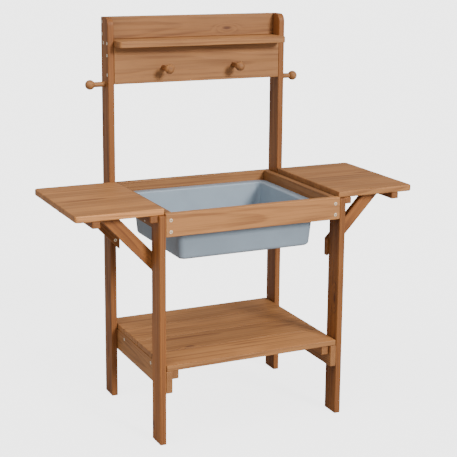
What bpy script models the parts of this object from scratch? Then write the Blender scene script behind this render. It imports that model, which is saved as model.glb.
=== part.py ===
"""A child's potting bench in stained softwood, with a plastic tub that lifts out. Metres, +Z up.

X runs from the left side table to the right one and Y from the front to the rear. The bench stands
on z = 0, with the centre of its footprint on the origin.
"""

import math

import bmesh
import bpy
from mathutils import Vector

OBJECT_NAME = "potting_bench"
GAP = 0.0003  # left between pieces that touch

# Driving dimensions
HEIGHT = 1.000  # floor to the tops of the rear posts
DEPTH = 0.394  # front faces of the front legs to the rear faces of the rear posts
LEG_SPACING = 0.466  # clear width between the left and the right legs
TABLE_SPAN = 0.898  # outer end of one side table to the outer end of the other
BOARD = 0.016  # thickness of every leg, rail and board
LEG_WIDTH = 0.052
RAIL_HEIGHT = 0.056
RAIL_TOP = 0.571
BATTEN = 0.020  # width of every batten and cleat
CLEAT_HEIGHT = 0.025
EDGE = 0.0018  # rounding of the sawn edges

# Side tables
TABLE_TOP = 0.583
TABLE_FRONT = -0.189
TABLE_REAR = 0.142
TABLE_CORNER = 0.010
TABLE_BATTEN_HEIGHT = 0.016
OUTER_BATTEN_X = 0.389  # inner face of the batten near a table's outer end
BRACE_WIDTH = 0.032
BRACE_SLOPE = math.tan(math.radians(46.5))
BRACE_END_X = 0.229  # the upright cut at a brace's lower end
BRACE_TIP_X = 0.382  # the sharp upper end
BRACE_CORNER = 0.0015

# Lower shelf
SHELF_TOP = 0.199
SHELF_THICK = 0.0135
PLANKS = 4
PLANK_GAP = 0.0012
PLANK_END_GAP = 0.0015  # left between a plank's end and the leg
SHELF_BATTEN_SETBACK = 0.010  # from a lower rail's end to its batten's
SHELF_SCREW_Y = (("front", -0.093), ("rear", 0.094))

# Tub frame and tub
SIDE_RAIL_X = 0.212  # inner face of a side rail
TUB_RIM_TOP = 0.5465
TUB_FLOOR = 0.4435  # inside
TUB_RIM = Vector((0.2095, 0.1790))  # half length and half width over the rim
TUB_FLANGE = 0.0255  # rim's outer edge to the wall
TUB_WALL = 0.0025
TUB_CORNER = 0.024
TUB_COVE = 0.004  # radius where the rim turns down into the wall
TUB_FOOT = 0.008  # radius between the walls and the floor
TUB_TAPER = math.radians(5.0)
RIM_LIP = 0.0062

# Top unit
UPPER_SHELF_TOP = 0.943
UPPER_SHELF_FRONT = 0.103
UPPER_SHELF_CORNER = 0.009
PEG_BOARD_BOTTOM = 0.832
POST_CORNER = 0.020

# Pegs and screws
PEG_BALL = 0.0125  # radius
PEG_REACH = 0.040  # face of the board to the centre of the ball
PEG_SHANK = 0.0070
PEG_TENON = 0.0050
PEG_TENON_LENGTH = 0.012
FRONT_PEG_X = 0.099
FRONT_PEG_Z = 0.870
SIDE_PEG_Z = 0.831
SCREW_HEAD = 0.0045
SCREW_SHANK = 0.0020
SCREW_LENGTH = 0.034
SCREW_SUNK = 0.0003  # head's face below the wood
SCREW_RIM = 0.0004  # straight part of the head under its face
SCREW_RIM_INSET = 0.00068
RAIL_SCREW_DROP = 0.016  # front rail's top edge to the upper screw
RAIL_SCREW_RISE = 0.012  # front rail's lower edge to the lower screw
BRACE_BOLT_Z = 0.432
BORE_CLEARANCE = 0.0003
BORE_MOUTH = 0.001  # how far a bore's cutter stands out of the face it enters
TURNED_STEPS = 16
SCREW_STEPS = 12
SHARP_ANGLE = math.radians(30)

# Derived places
LEG_IN = LEG_SPACING / 2
LEG_OUT = LEG_IN + BOARD
FRONT = -DEPTH / 2
REAR = DEPTH / 2
POST_FRONT = REAR - LEG_WIDTH
RAIL_BOTTOM = RAIL_TOP - RAIL_HEIGHT
TABLE_UNDER = TABLE_TOP - BOARD
SHELF_UNDER = SHELF_TOP - SHELF_THICK
LOWER_RAIL_BOTTOM = SHELF_UNDER - RAIL_HEIGHT

# Colours: base colour, roughness
PINE = ((0.40, 0.19, 0.085), 0.62)
PINE_LIGHT = ((0.46, 0.23, 0.11), 0.62)
PINE_DARK = ((0.33, 0.15, 0.065), 0.66)
TUB_GREY = ((0.33, 0.39, 0.44), 0.42)
ZINC = ((0.72, 0.68, 0.58), 0.38)


def clear_scene():
    for obj in list(bpy.data.objects):
        bpy.data.objects.remove(obj, do_unlink=True)


def new_collection(name):
    collection = bpy.data.collections.new(name)
    bpy.context.scene.collection.children.link(collection)
    return collection


def material_for(name, finish, metallic=0.0):
    colour, roughness = finish
    material = bpy.data.materials.new(name + "_finish")
    material.use_nodes = True
    shader = material.node_tree.nodes["Principled BSDF"]
    shader.inputs["Base Color"].default_value = (*colour, 1.0)
    shader.inputs["Roughness"].default_value = roughness
    shader.inputs["Metallic"].default_value = metallic
    material.diffuse_color = (*colour, 1.0)
    return material


def add_object(name, mesh, place, finish):
    obj = bpy.data.objects.new(name, mesh)
    obj.location = place
    parts.objects.link(obj)
    mesh.materials.append(material_for(name, finish))
    mesh.shade_smooth()
    mesh.set_sharp_from_angle(angle=SHARP_ANGLE)
    return obj


def round_edges(obj):
    bevel = obj.modifiers.new("rounded_edges", "BEVEL")
    bevel.width = EDGE
    bevel.segments = 2
    bevel.limit_method = "ANGLE"
    bevel.angle_limit = math.radians(35)


def board(name, low, high, finish=PINE):
    """A straight board between two corners, its edges rounded."""
    low, high = Vector(low), Vector(high)
    size = high - low
    bm = bmesh.new()
    bmesh.ops.create_cube(bm, size=1.0)
    bmesh.ops.scale(bm, vec=size, verts=bm.verts)
    mesh = bpy.data.meshes.new(name)
    bm.to_mesh(mesh)
    bm.free()
    obj = add_object(name, mesh, (low + high) / 2, finish)
    round_edges(obj)
    return obj


def filleted(corners, steps=4):
    """Points of a closed outline whose corners, given as (x, y, radius), are rounded by arcs."""
    points = []
    for i, (x, y, radius) in enumerate(corners):
        corner = Vector((x, y))
        if radius <= 0:
            points.append(corner)
            continue
        before = (Vector(corners[i - 1][:2]) - corner).normalized()
        after = (Vector(corners[(i + 1) % len(corners)][:2]) - corner).normalized()
        half_angle = before.angle(after) / 2
        centre = corner + (before + after).normalized() * radius / math.sin(half_angle)
        start = corner + before * radius / math.tan(half_angle) - centre
        end = corner + after * radius / math.tan(half_angle) - centre
        turn = start.angle_signed(end)
        for step in range(steps + 1):
            # angle_signed is clockwise, as a 2D rotation by a negative angle is.
            angle = -turn * step / steps
            points.append(centre + rotated(start, angle))
    return points


def rotated(vector, angle):
    cosine, sine = math.cos(angle), math.sin(angle)
    return Vector((vector.x * cosine - vector.y * sine, vector.x * sine + vector.y * cosine))


def flat_piece(name, corners, thickness, place, rotation=(0, 0, 0), finish=PINE):
    """A board cut to an outline, which lies in the object's own XY plane."""
    curve = bpy.data.curves.new(name + "_outline", "CURVE")
    curve.dimensions = "2D"
    curve.fill_mode = "BOTH"
    curve.extrude = thickness / 2
    points = filleted(corners)
    spline = curve.splines.new("POLY")
    spline.points.add(len(points) - 1)
    for point, (x, y) in zip(spline.points, points):
        point.co = (x, y, 0, 1)
    spline.use_cyclic_u = True
    outline = bpy.data.objects.new(name + "_outline", curve)
    parts.objects.link(outline)
    graph = bpy.context.evaluated_depsgraph_get()
    mesh = bpy.data.meshes.new_from_object(outline.evaluated_get(graph))
    bpy.data.objects.remove(outline)
    mesh.name = name
    bm = bmesh.new()
    bm.from_mesh(mesh)
    bmesh.ops.remove_doubles(bm, verts=bm.verts, dist=0.00002)
    bmesh.ops.dissolve_limit(bm, angle_limit=math.radians(1), verts=bm.verts, edges=bm.edges)
    bmesh.ops.recalc_face_normals(bm, faces=bm.faces)
    bm.to_mesh(mesh)
    bm.free()
    mesh.materials.clear()
    obj = add_object(name, mesh, place, finish)
    obj.rotation_euler = rotation
    round_edges(obj)
    return obj


def turned(name, profile, steps):
    """A shape turned about its own Z axis from (radius, z) points, in no collection yet."""
    mesh = bpy.data.meshes.new(name)
    edges = [(i, i + 1) for i in range(len(profile) - 1)]
    mesh.from_pydata([(radius, 0, z) for radius, z in profile], edges, [])
    obj = bpy.data.objects.new(name, mesh)
    spin = obj.modifiers.new("turned", "SCREW")
    spin.axis = "Z"
    spin.steps = steps
    spin.render_steps = steps
    spin.use_merge_vertices = True
    spin.merge_threshold = 0.00001
    spin.use_smooth_shade = True
    return obj


def aim(obj, point, outward):
    obj.location = point
    obj.rotation_mode = "QUATERNION"
    obj.rotation_quaternion = Vector(outward).to_track_quat("Z", "Y")


def bore(cutter, point, outward, pieces):
    """Cuts the turned cutter's shape out of each piece."""
    aim(cutter, point, outward)
    cutters.objects.link(cutter)
    cutter.hide_render = True
    cutter.display_type = "WIRE"
    for piece in pieces:
        cut = piece.modifiers.new(cutter.name, "BOOLEAN")
        cut.operation = "DIFFERENCE"
        cut.object = cutter


def countersunk_screw(name, point, outward, pieces):
    """A screw whose head lies just under the surface at point, with its bore in the pieces it joins."""
    face = -SCREW_SUNK
    rim = face - SCREW_RIM
    cone_end = rim - (SCREW_HEAD - SCREW_SHANK)
    tip = cone_end - SCREW_LENGTH
    screw = turned(
        name,
        [
            (0, face),
            (SCREW_HEAD - SCREW_RIM_INSET, face),
            (SCREW_HEAD, rim),
            (SCREW_SHANK, cone_end),
            (SCREW_SHANK, tip + SCREW_SHANK),
            (0, tip),
        ],
        SCREW_STEPS,
    )
    parts.objects.link(screw)
    screw.data.materials.append(material_for(name, ZINC, metallic=1.0))
    aim(screw, point, outward)
    wide = SCREW_HEAD + BORE_CLEARANCE
    narrow = SCREW_SHANK + BORE_CLEARANCE
    cutter = turned(
        name + "_bore",
        [
            (0, BORE_MOUTH),
            (wide, BORE_MOUTH),
            (wide, rim),
            (narrow, cone_end - BORE_CLEARANCE),
            (narrow, tip - BORE_CLEARANCE),
            (0, tip - BORE_CLEARANCE),
        ],
        SCREW_STEPS,
    )
    bore(cutter, point, outward, pieces)


def peg(name, point, outward, piece):
    """A turned peg with a ball end, its tenon in a bore of the piece."""
    ball_turn = math.radians(142)
    steps = 7
    profile = []
    for step in range(steps + 1):
        angle = ball_turn * step / steps
        radius = PEG_BALL * math.sin(angle)
        profile.append((radius, PEG_REACH + PEG_BALL * math.cos(angle)))
    neck = profile[-1][0]
    profile += [
        (neck * 0.86, PEG_REACH * 0.62),
        (PEG_SHANK * 0.95, PEG_REACH * 0.30),
        (PEG_SHANK, GAP),
        (PEG_TENON, GAP),
        (PEG_TENON, -PEG_TENON_LENGTH),
        (0, -PEG_TENON_LENGTH),
    ]
    obj = turned(name, profile, TURNED_STEPS)
    parts.objects.link(obj)
    obj.data.materials.append(material_for(name, PINE))
    aim(obj, point, outward)
    width = PEG_TENON + BORE_CLEARANCE
    depth = -PEG_TENON_LENGTH - BORE_CLEARANCE
    profile = [(0, BORE_MOUTH), (width, BORE_MOUTH), (width, depth), (0, depth)]
    cutter = turned(name + "_bore", profile, SCREW_STEPS)
    bore(cutter, point, outward, [piece])


def make_legs():
    """The two front legs, which end under the side tables, and the two posts up to the top unit."""
    legs = {}
    top = TABLE_UNDER - GAP
    for side, x in (("left", -LEG_IN - BOARD / 2), ("right", LEG_IN + BOARD / 2)):
        low = (x - BOARD / 2, FRONT, 0)
        high = (x + BOARD / 2, FRONT + LEG_WIDTH, top)
        legs[side, "front"] = board(f"front_{side}_leg", low, high)
        corners = [
            (POST_FRONT, 0, 0),
            (REAR, 0, 0),
            (REAR, HEIGHT, 0.003),
            (POST_FRONT, HEIGHT, POST_CORNER),
        ]
        turn = (math.radians(90), 0, math.radians(90))
        legs[side, "rear"] = flat_piece(f"rear_{side}_post", corners, BOARD, (x, 0, 0), turn)
    return legs


def make_tub_frame():
    """Front and rear rails between the legs, the two side rails and the cleats that carry the tub."""
    reach = LEG_IN - GAP
    rails = {}
    for name, low_y, high_y in (
        ("front_rail", FRONT, FRONT + BOARD),
        ("rear_rail", REAR - BOARD, REAR),
    ):
        low, high = (-reach, low_y, RAIL_BOTTOM), (reach, high_y, RAIL_TOP)
        rails[name] = board(name, low, high, PINE_LIGHT)
    inside = DEPTH / 2 - BOARD - GAP
    for side, sign in (("left", -1), ("right", 1)):
        xs = sorted((sign * SIDE_RAIL_X, sign * (SIDE_RAIL_X + BOARD)))
        low, high = (xs[0], -inside, RAIL_BOTTOM), (xs[1], inside, RAIL_TOP)
        rails[side] = board(f"{side}_side_rail", low, high, PINE_DARK)
        xs = sorted((sign * (SIDE_RAIL_X - GAP), sign * (SIDE_RAIL_X - BATTEN)))
        top = RAIL_BOTTOM + CLEAT_HEIGHT
        low, high = (xs[0], -inside, RAIL_BOTTOM), (xs[1], inside, top)
        board(f"{side}_tub_cleat", low, high, PINE_DARK)
        centre = sign * (SIDE_RAIL_X + BOARD / 2)
        levels = (("upper", RAIL_TOP - RAIL_SCREW_DROP), ("lower", RAIL_BOTTOM + RAIL_SCREW_RISE))
        for level, z in levels:
            pieces = [rails["front_rail"], rails[side]]
            countersunk_screw(f"{side}_rail_{level}_screw", (centre, FRONT, z), (0, -1, 0), pieces)


def make_lower_shelf():
    """Two rails on the legs' inner faces, a batten inside each, and the planks across them."""
    for side, sign in (("left", -1), ("right", 1)):
        outer = LEG_IN - GAP
        inner = outer - BOARD
        xs = sorted((sign * outer, sign * inner))
        low = (xs[0], FRONT, LOWER_RAIL_BOTTOM)
        high = (xs[1], REAR, SHELF_UNDER - GAP)
        rail = board(f"{side}_lower_rail", low, high)
        xs = sorted((sign * (inner - GAP), sign * (inner - BATTEN)))
        low = (xs[0], FRONT + SHELF_BATTEN_SETBACK, SHELF_UNDER - GAP - CLEAT_HEIGHT)
        high = (xs[1], REAR - SHELF_BATTEN_SETBACK, SHELF_UNDER - GAP)
        batten = board(f"{side}_shelf_batten", low, high)
        for end, y in SHELF_SCREW_Y:
            point = (sign * outer, y, SHELF_UNDER - CLEAT_HEIGHT / 2)
            name = f"{side}_lower_rail_{end}_screw"
            countersunk_screw(name, point, (sign, 0, 0), [rail, batten])
    reach = LEG_IN - PLANK_END_GAP
    width = (DEPTH - (PLANKS - 1) * PLANK_GAP) / PLANKS
    for plank in range(PLANKS):
        rear = REAR - plank * (width + PLANK_GAP)
        low, high = (-reach, rear - width, SHELF_UNDER), (reach, rear, SHELF_TOP)
        board(f"shelf_plank_{plank + 1}", low, high, PINE_LIGHT)


def make_side_tables(legs):
    """On each side a glued panel, its two battens and the two braces under it, with their bolts."""
    for side, sign in (("left", -1), ("right", 1)):
        inner, outer = LEG_IN, TABLE_SPAN / 2
        corners = [
            (sign * inner, TABLE_FRONT, 0.003),
            (sign * outer, TABLE_FRONT, TABLE_CORNER),
            (sign * outer, TABLE_REAR, TABLE_CORNER),
            (sign * inner, TABLE_REAR, 0.003),
        ]
        place = (0, 0, TABLE_TOP - BOARD / 2)
        flat_piece(f"{side}_table_panel", corners, BOARD, place, finish=PINE_LIGHT)
        top = TABLE_UNDER - GAP
        bottom = top - TABLE_BATTEN_HEIGHT
        xs = sorted((sign * (LEG_OUT + GAP), sign * (LEG_OUT + BATTEN)))
        low, high = (xs[0], TABLE_FRONT - 0.001, bottom), (xs[1], REAR - 0.006, top)
        board(f"{side}_inner_batten", low, high)
        xs = sorted((sign * OUTER_BATTEN_X, sign * (OUTER_BATTEN_X + BATTEN)))
        low, high = (xs[0], TABLE_FRONT + 0.001, bottom), (xs[1], TABLE_REAR - 0.002, top)
        board(f"{side}_outer_batten", low, high)
        for end in ("front", "rear"):
            make_brace(side, sign, end, legs[side, end], top)


def make_brace(side, sign, end, leg, top):
    """One sloping brace against the inner edge of its leg, with the bolt through its lower end."""
    upright = BRACE_WIDTH * math.hypot(1, BRACE_SLOPE)
    low = top - (BRACE_TIP_X - BRACE_END_X) * BRACE_SLOPE
    corners = [
        (sign * BRACE_END_X, low + upright, BRACE_CORNER),
        (sign * BRACE_END_X, low, BRACE_CORNER),
        (sign * BRACE_TIP_X, top, 0),
        (sign * (BRACE_TIP_X - upright / BRACE_SLOPE), top, 0),
    ]
    edge, outward = (FRONT + LEG_WIDTH, 1) if end == "front" else (POST_FRONT, -1)
    place = (0, edge + outward * (GAP + BOARD / 2), 0)
    turn = (math.radians(90), 0, 0)
    brace = flat_piece(f"{end}_{side}_brace", corners, BOARD, place, turn)
    point = (sign * (LEG_IN + BOARD / 2), edge + outward * (GAP + BOARD), BRACE_BOLT_Z)
    countersunk_screw(f"{end}_{side}_brace_bolt", point, (0, outward, 0), [brace, leg])


def make_top_unit(legs):
    """The shelf between the rear posts, the panel behind it and the board with pegs below it."""
    reach = LEG_IN - GAP
    shelf_under = UPPER_SHELF_TOP - BOARD
    corners = [
        (-reach, UPPER_SHELF_FRONT, UPPER_SHELF_CORNER),
        (reach, UPPER_SHELF_FRONT, UPPER_SHELF_CORNER),
        (reach, REAR, 0),
        (-reach, REAR, 0),
    ]
    place = (0, 0, UPPER_SHELF_TOP - BOARD / 2)
    shelf = flat_piece("top_shelf", corners, BOARD, place, finish=PINE_LIGHT)
    low, high = (-reach, REAR - BOARD, UPPER_SHELF_TOP + GAP), (reach, REAR, HEIGHT)
    back_panel = board("back_panel", low, high)
    low = (-reach, POST_FRONT, PEG_BOARD_BOTTOM)
    high = (reach, POST_FRONT + BOARD, shelf_under - GAP)
    peg_board = board("peg_board", low, high)
    for side, sign in (("left", -1), ("right", 1)):
        post = legs[side, "rear"]
        x = sign * LEG_OUT
        for label, y, z, piece in (
            ("back_panel_upper", REAR - BOARD / 2, 0.987, back_panel),
            ("back_panel_lower", REAR - BOARD / 2, 0.957, back_panel),
            ("top_shelf_rear", REAR - 0.018, UPPER_SHELF_TOP - BOARD / 2, shelf),
            ("top_shelf_front", POST_FRONT + BOARD / 2, UPPER_SHELF_TOP - BOARD / 2, shelf),
            ("peg_board_upper", POST_FRONT + BOARD / 2, 0.905, peg_board),
            ("peg_board_lower", POST_FRONT + BOARD / 2, 0.856, peg_board),
        ):
            name = f"{side}_{label}_screw"
            countersunk_screw(name, (x, y, z), (sign, 0, 0), [post, piece])
        peg(f"{side}_side_peg", (x, REAR - LEG_WIDTH / 2, SIDE_PEG_Z), (sign, 0, 0), post)
        front = (sign * FRONT_PEG_X, POST_FRONT, FRONT_PEG_Z)
        peg(f"{side}_front_peg", front, (0, -1, 0), peg_board)


def tub_sections():
    """(height, inset from the rim's outer edge, corner radius) of each ring, rim lip to floor."""
    wall_top = TUB_RIM_TOP - TUB_COVE
    rings = [
        (TUB_RIM_TOP - RIM_LIP, 0.0, TUB_CORNER),
        (TUB_RIM_TOP - 0.0015, 0.0, TUB_CORNER),
        (TUB_RIM_TOP, 0.0015, TUB_CORNER),
    ]
    for step in range(4):
        angle = math.radians(90) * step / 3
        inset = TUB_FLANGE - TUB_COVE + TUB_COVE * math.sin(angle)
        rings.append((wall_top + TUB_COVE * math.cos(angle), inset, TUB_CORNER))
    wall_bottom = TUB_FLOOR + TUB_FOOT
    foot = TUB_FLANGE + (wall_top - wall_bottom) * math.tan(TUB_TAPER)
    for step in range(4):
        angle = math.radians(90) * step / 3
        inset = foot + TUB_FOOT * (1 - math.cos(angle))
        rings.append((wall_bottom - TUB_FOOT * math.sin(angle), inset, TUB_CORNER))
    return rings


def make_tub():
    """The tub: rings of a rounded rectangle bridged into a skin, with a floor, then thickened."""
    bm = bmesh.new()
    loops = []
    for height, inset, radius in tub_sections():
        x, y = TUB_RIM.x - inset, TUB_RIM.y - inset
        radius = max(radius - inset * 0.3, 0.008)
        corners = [(-x, -y, radius), (x, -y, radius), (x, y, radius), (-x, y, radius)]
        ring = [bm.verts.new((*point, height - TUB_RIM_TOP)) for point in filleted(corners, steps=5)]
        loops.append([bm.edges.new((ring[i - 1], ring[i])) for i in range(len(ring))])
    for upper, lower in zip(loops, loops[1:]):
        bmesh.ops.bridge_loops(bm, edges=upper + lower)
    bmesh.ops.contextual_create(bm, geom=loops[-1])
    bmesh.ops.recalc_face_normals(bm, faces=bm.faces)
    mesh = bpy.data.meshes.new("tub")
    bm.to_mesh(mesh)
    bm.free()
    obj = add_object("tub", mesh, (0, 0, TUB_RIM_TOP), TUB_GREY)
    skin = obj.modifiers.new("wall", "SOLIDIFY")
    skin.thickness = TUB_WALL
    skin.offset = -1
    skin.use_even_offset = True
    return obj


clear_scene()
parts = new_collection(OBJECT_NAME)
cutters = new_collection(OBJECT_NAME + "_cutters")
all_legs = make_legs()
make_tub_frame()
make_lower_shelf()
make_side_tables(all_legs)
make_top_unit(all_legs)
make_tub()
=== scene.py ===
"""The looks of a child's potting bench: stained boards, a moulded tub, turned pegs and screws.

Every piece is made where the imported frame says, in metres, and rides on one of its bodies. Boards are
made in a frame of their own, x along the grain, y across the width and z through the thickness.
"""

import math
import random

import bmesh
import bpy
from mathutils import Matrix, Vector, noise


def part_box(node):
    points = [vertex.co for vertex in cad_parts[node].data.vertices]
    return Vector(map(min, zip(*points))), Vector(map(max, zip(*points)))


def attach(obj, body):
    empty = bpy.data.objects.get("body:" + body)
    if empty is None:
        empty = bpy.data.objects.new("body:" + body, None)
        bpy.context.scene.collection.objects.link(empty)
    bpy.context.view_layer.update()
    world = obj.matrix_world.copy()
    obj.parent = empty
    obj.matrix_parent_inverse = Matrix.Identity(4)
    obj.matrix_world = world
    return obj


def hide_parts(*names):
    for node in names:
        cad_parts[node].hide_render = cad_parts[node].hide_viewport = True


bl_info = {
    "name": "Potting bench looks",
    "version": (1, 0, 0),
    "blender": (4, 5, 0),
    "location": "View3D > Sidebar > Potting bench",
    "description": "Builds the visible pieces of a potting bench around its fixed frame",
    "category": "Object",
}

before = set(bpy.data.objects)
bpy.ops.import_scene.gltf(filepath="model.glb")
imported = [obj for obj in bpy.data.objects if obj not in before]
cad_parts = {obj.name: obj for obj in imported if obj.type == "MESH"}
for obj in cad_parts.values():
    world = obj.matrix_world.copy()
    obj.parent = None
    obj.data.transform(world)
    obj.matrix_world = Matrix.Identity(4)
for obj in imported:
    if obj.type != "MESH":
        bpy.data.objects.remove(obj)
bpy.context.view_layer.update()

FRAME_BODY = "frame"
TUB_BODY = "tub"
FRAME_SLOT = "frame_wood"
BOARD_SLOT = "board_wood"

EDGE_SEGMENTS = 4
SHARP_ANGLE = math.radians(40)
QUARTER = math.radians(90)
LONG_EDGE = 0.35  # how far a face turns to the side before it counts as part of a board's long edge
END_FACE = 0.7  # how far a face turns along the grain before it counts as end grain
PLAIN_CORNER = 0.003  # radius of the corners that aren't meant to look round
NOTHING = 1e-6  # a distance too small to matter

# Where the pith of a board's growth rings may lie in its own frame, and how far its tone may vary.
PITH_ACROSS = 0.022
PITH_DEPTH = (0.030, 0.075)
TONE_SPREAD = 0.13
NO_SPOT = (9, 9, 0)  # a place outside every board, for a wood without a chosen knot
BACK_PANEL_KNOT = (0.096, -0.008, 0)  # along and across the panel from its middle

# The wood's figure. A knot's parts fade out between two distances, as shares of its cell.
PITH_DRIFT = (0.045, 0.03)  # how far the pith strays across and through, for each metre of grain
KNOT_CELLS = (3.6, 10.5)  # cells that may hold a knot, for each metre along and across the grain
KNOT_CORE, KNOT_RIM, KNOT_REACH = (0.022, 0.050), (0.036, 0.058), (0.02, 0.19)
KNOT_PUSH = 0.0115  # how far a knot pushes the rings aside
WAVES = (3.2, 16.0, 16.0)  # slow waves of the rings, for each metre along and across the grain
STREAKS = (2.4, 95.0, 95.0)
FIBRES = (24.0, 900.0, 900.0)
CLOUDS = (5.0, 17.0, 17.0)
RIPPLES = 38  # changes in the rounding of an edge, for each metre

SCREW_SUNK = 0.0003  # how far the frame's screw heads lie below the wood
SCREW_PROUD = 0.0004  # height of the dome on a screw's head
SCREW_SHANK = 0.0020  # radius
SCREW_LENGTH = 0.036
CLEAT_SCREW_LENGTH = 0.030
CLEAT_SCREW_Y, CLEAT_SCREW_Z = -0.048, 0.524
BARE_STEEL = (0.86, 0.85, 0.82)
RECESS_HALF_WIDTH = 0.00075
RECESS_SOFTNESS = 0.00030  # width of the slope round a screw's recess

PEG_SEAT = 0.0003  # from the face of the board to the shoulder of a peg
TENON_LENGTH = 0.0120
TENON_CHAMFER = 0.0005

# The outer edge of the tub's rim, as (depth below the rim's top, inset, edge mark).
RIM_EDGE = ((0.0, 0.0024, 0.3), (0.0003, 0.0010, 0.9), (0.0010, 0.0003, 1.0), (0.0024, 0.0, 0.4))
LIP_ROUND = 0.0006  # rounding of the lower edge of the tub's lip
INNER_ROUND = 0.0008  # rounding where the lip meets the underside of the rim
TIGHTEST_CORNER = 0.008  # the least radius of the tub's corners
CORNER_TAPER = 0.3  # how much a corner's radius shrinks for each metre that the wall stands in

FLOOR_RADIUS = 60.0
LAMP_DISTANCE = 3.0  # only where the lamp's symbol stands, as its rays are parallel
LAMP_COLOUR = (1.0, 0.985, 0.96)
TOP_LAMP_AIM = (-0.50, -0.25, 1.0)
SENSOR_WIDTH = 36.0  # millimetres
FAR_CLIP = 200.0

X, Y, Z = Vector((1, 0, 0)), Vector((0, 1, 0)), Vector((0, 0, 1))
SIDES = (("left", -1), ("right", 1))

# How pale single boards are. The tone of the long edges is also multiplied by a second factor, which is
# painted light and shade: the left leg's side lighter and the left post's side darker than their fronts,
# for the light on them, the left table's front edge lit, and shade in the seams between the planks.
LEG_TONE_AND_PAINTED_LIGHT = {
    "front_left_leg": {"tone": 1.22, "long_edge_painted_light": 0.85},
    "front_right_leg": {"tone": 1.0},
    "rear_left_post": {"tone": 0.84, "long_edge_painted_light": 1.13},
    "rear_right_post": {"tone": 1.05},
}
TABLE_TONE_AND_PAINTED_LIGHT = {"left": {"tone": 1.15, "long_edge_painted_light": 1.5}, "right": {"tone": 0.94}}
PLANK_TONE_AND_PAINTED_SHADE = {"tone": 1.45, "long_edge_painted_light": 0.6}


# ---------------------------------------------------------------- settings


def length(name, description, default):
    return bpy.props.FloatProperty(
        name=name, description=description, default=default, min=0.0, subtype="DISTANCE", unit="LENGTH"
    )


def share(name, description, default):
    return bpy.props.FloatProperty(
        name=name, description=description, default=default, min=0.0, max=1.0, subtype="FACTOR"
    )


def angle(name, description, degrees):
    return bpy.props.FloatProperty(
        name=name,
        description=description,
        default=math.radians(degrees),
        subtype="ANGLE",
        unit="ROTATION",
    )


def strength(name, description, default):
    return bpy.props.FloatProperty(name=name, description=description, default=default, min=0.0)


def colour(name, description, default):
    return bpy.props.FloatVectorProperty(
        name=name, description=description, default=default, size=3, min=0.0, max=1.0, subtype="COLOR"
    )


class BoardSettings(bpy.types.PropertyGroup):
    """How the boards are cut."""

    edge_radius: length("Edge radius", "Rounding of the sawn edges", 0.0017)
    unevenness: share("Edge unevenness", "Change of the rounding along an edge", 0.35)
    step: length("Mesh step", "Longest distance between two points along an edge", 0.011)
    corner: length("Corner radius", "Rounding of a board's square corners", 0.0024)
    strip: length("Strip width", "Width of a strip in the glued side tables", 0.043)
    table_corner: length("Table corner", "Radius of a side table's outer corners", 0.010)
    shelf_corner: length("Top shelf corner", "Radius of the top shelf's front corners", 0.009)
    post_corner: length("Post corner", "Radius at the top front of a rear post", 0.020)
    table_edge: length("Table edge", "Rounding of a side table's edges", 0.0030)
    brace_width: length("Brace width", "Width of a brace, square to its length", 0.032)
    brace_corner: length("Brace corner", "Radius of the corners at a brace's lower end", 0.0015)
    brace_slope: angle("Brace slope", "How steeply a brace rises", 46.5)


class WoodSettings(bpy.types.PropertyGroup):
    """The stained softwood."""

    early: colour("Early wood", "Stain on the pale part of a growth ring", (0.345, 0.147, 0.045))
    late: colour("Late wood", "Stain on the dark part of a growth ring", (0.182, 0.069, 0.020))
    knot: colour("Knot", "Colour at the heart of a knot", (0.10, 0.030, 0.009))
    worn: colour("Worn edge", "Colour where the stain is thin on an edge", (0.58, 0.30, 0.13))
    frame_tint: colour("Frame tint", "Deeper stain of the legs and braces", (0.79, 0.64, 0.40))
    ring_spacing: length("Ring spacing", "Thickness of one growth ring", 0.0042)


class TubSettings(bpy.types.PropertyGroup):
    """The moulded tub."""

    plastic: colour("Tub colour", "Colour of the plastic", (0.258, 0.322, 0.388))
    rim: length("Rim width", "From the rim's outer edge to the wall", 0.0255)
    cove: length("Rim roll", "Radius where the rim turns down into the wall", 0.004)
    lip: length("Lip depth", "Depth of the turned-down outer edge of the rim", 0.0062)
    wall: length("Wall thickness", "Thickness of the plastic", 0.0025)
    corner: length("Corner radius", "Radius of the rim's corners", 0.024)
    foot: length("Foot radius", "Radius between the walls and the floor", 0.008)
    taper: angle("Taper", "Lean of the walls, which frees the moulding from its mould", 5.0)


class FittingSettings(bpy.types.PropertyGroup):
    """The pegs and the screws."""

    ball: length("Ball radius", "Radius of a peg's ball end", 0.0125)
    reach: length("Peg reach", "Face of the board to the centre of the ball", 0.040)
    shank: length("Shank radius", "Radius of a peg where it meets the board", 0.0070)
    neck: length("Neck radius", "Radius of a peg behind the ball", 0.0066)
    tenon: length("Tenon radius", "Radius of the part of a peg inside the board", 0.0050)
    head: length("Head radius", "Radius of a screw's head", 0.0044)
    recess: length("Recess arm", "Length of an arm of the cross recess", 0.0025)
    recess_depth: length("Recess depth", "Depth of the cross recess", 0.0014)
    zinc: colour("Zinc", "Colour of the screws' plating", (0.90, 0.79, 0.60))


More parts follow.
